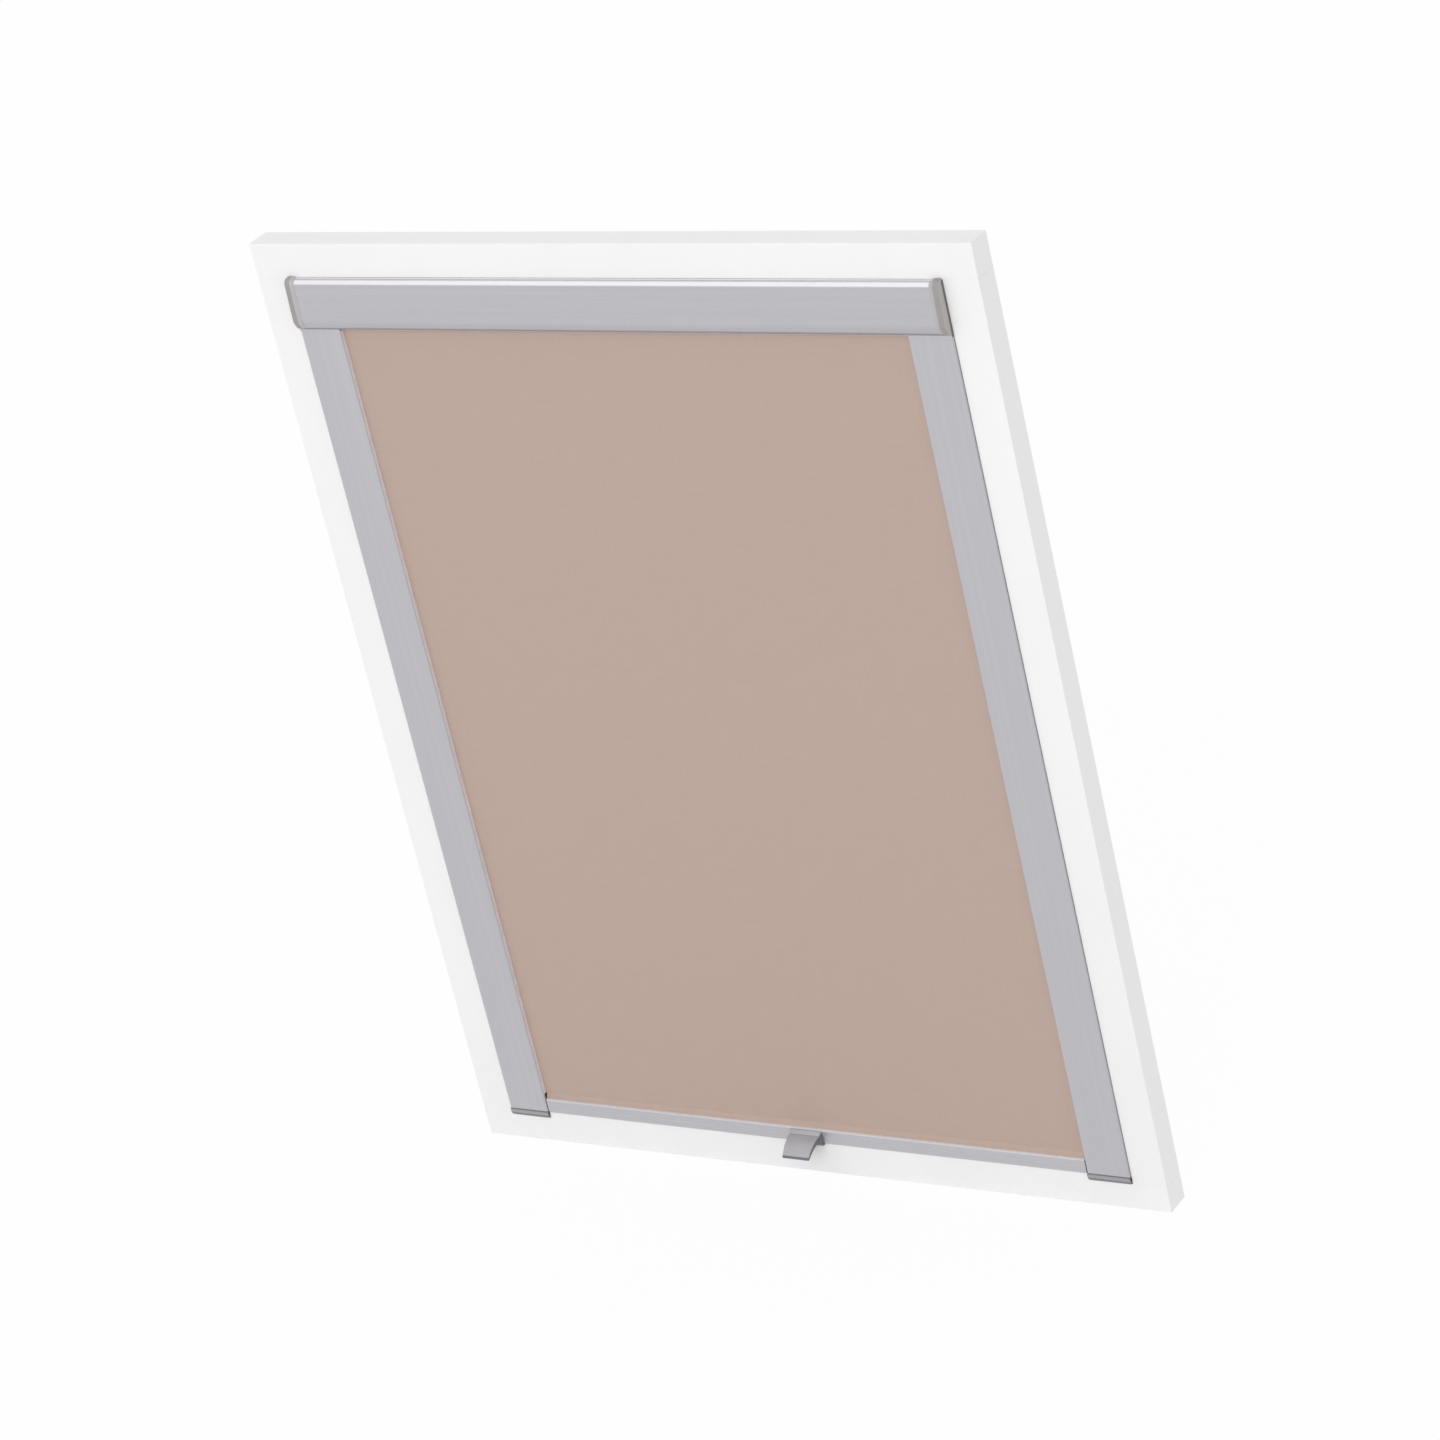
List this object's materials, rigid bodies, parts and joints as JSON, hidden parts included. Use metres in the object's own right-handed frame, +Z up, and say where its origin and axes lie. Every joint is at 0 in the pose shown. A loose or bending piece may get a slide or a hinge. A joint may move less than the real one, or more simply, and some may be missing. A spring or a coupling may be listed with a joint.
{
  "type": "roof window roller blind",
  "caption": "Roller blind for a roof window: cassette with a sprung roller, side rails with guide slots, a sliding bottom bar with pull handle, and its white surround.",
  "frame": {"origin": "middle of the surround's underside, halfway through its depth", "axes": "+X to the right along the cassette, +Y from the room side to the back of the surround, +Z up along the rails"},
  "size_m": [0.78, 0.0575, 0.98],
  "materials": {
    "surround_paint": "wood under white satin paint, no grain showing",
    "anodised_aluminium": "natural matt anodised, finely brushed along the extrusion",
    "end_cap_plastic": "grey moulded plastic, fine grain",
    "handle_plastic": "silver grey satin plastic",
    "blackout_cloth": "close plain weave, taupe, with a pale coated back",
    "steel": "zinc plated",
    "brush_pile": "short grey pile",
    "bearing_plastic": "natural low-friction plastic",
    "shoe_plastic": "dark grey moulded plastic",
    "brake_rubber": "dark matt"
  },
  "bodies": {
    "root": {"surround_sill": "surround_paint", "surround_head": "surround_paint", "left_stile": "surround_paint", "right_stile": "surround_paint", "left_side_rail": "anodised_aluminium", "right_side_rail": "anodised_aluminium", "left_rail_front_brush": "brush_pile", "right_rail_front_brush": "brush_pile", "left_rail_back_brush": "brush_pile", "right_rail_back_brush": "brush_pile", "left_rail_foot_cap": "end_cap_plastic", "right_rail_foot_cap": "end_cap_plastic", "left_rail_screw_1": "steel", "left_rail_screw_2": "steel", "left_rail_screw_3": "steel", "right_rail_screw_1": "steel", "right_rail_screw_2": "steel", "right_rail_screw_3": "steel", "cassette_front_cover": "anodised_aluminium", "cassette_back_profile": "anodised_aluminium", "cassette_exit_brush": "brush_pile", "left_cassette_bracket": "steel", "right_cassette_bracket": "steel", "left_bracket_screw": "steel", "right_bracket_screw": "steel", "left_cassette_cap": "end_cap_plastic", "right_cassette_cap": "end_cap_plastic", "left_cap_upper_screw": "steel", "left_cap_lower_screw": "steel", "right_cap_upper_screw": "steel", "right_cap_lower_screw": "steel", "idle_pin": "steel", "spring_core_rod": "steel", "spring_collar": "bearing_plastic", "torsion_spring": "steel", "blind_cloth": "blackout_cloth"},
    "roller": {"roller_tube": "anodised_aluminium", "roller_key_strip": "bearing_plastic", "roller_idle_plug": "bearing_plastic", "roller_spring_plug": "bearing_plastic", "wound_cloth": "blackout_cloth"},
    "bottom_bar": {"bottom_bar": "anodised_aluminium", "bar_cloth_spline": "bearing_plastic", "left_bar_shoe": "shoe_plastic", "right_bar_shoe": "shoe_plastic", "left_brake_pad": "brake_rubber", "right_brake_pad": "brake_rubber", "left_brake_spring": "steel", "right_brake_spring": "steel", "pull_handle": "handle_plastic"}
  },
  "joints": [
    {"name": "bottom_bar_slide", "type": "slide", "parent": "root", "child": "bottom_bar", "axis": [0, 0, 1], "range_m": [0, 0.835], "deforming": ["blind_cloth"]},
    {"name": "roller_spin", "type": "hinge", "parent": "root", "child": "roller", "pos_m": [0, -0.00097, 0.919], "axis": [-1, 0, 0], "range_deg": [0, 4450]}
  ],
  "couplings": [
    {"joint": "roller_spin", "follows": "bottom_bar_slide", "rad_per_m": 93}
  ]
}
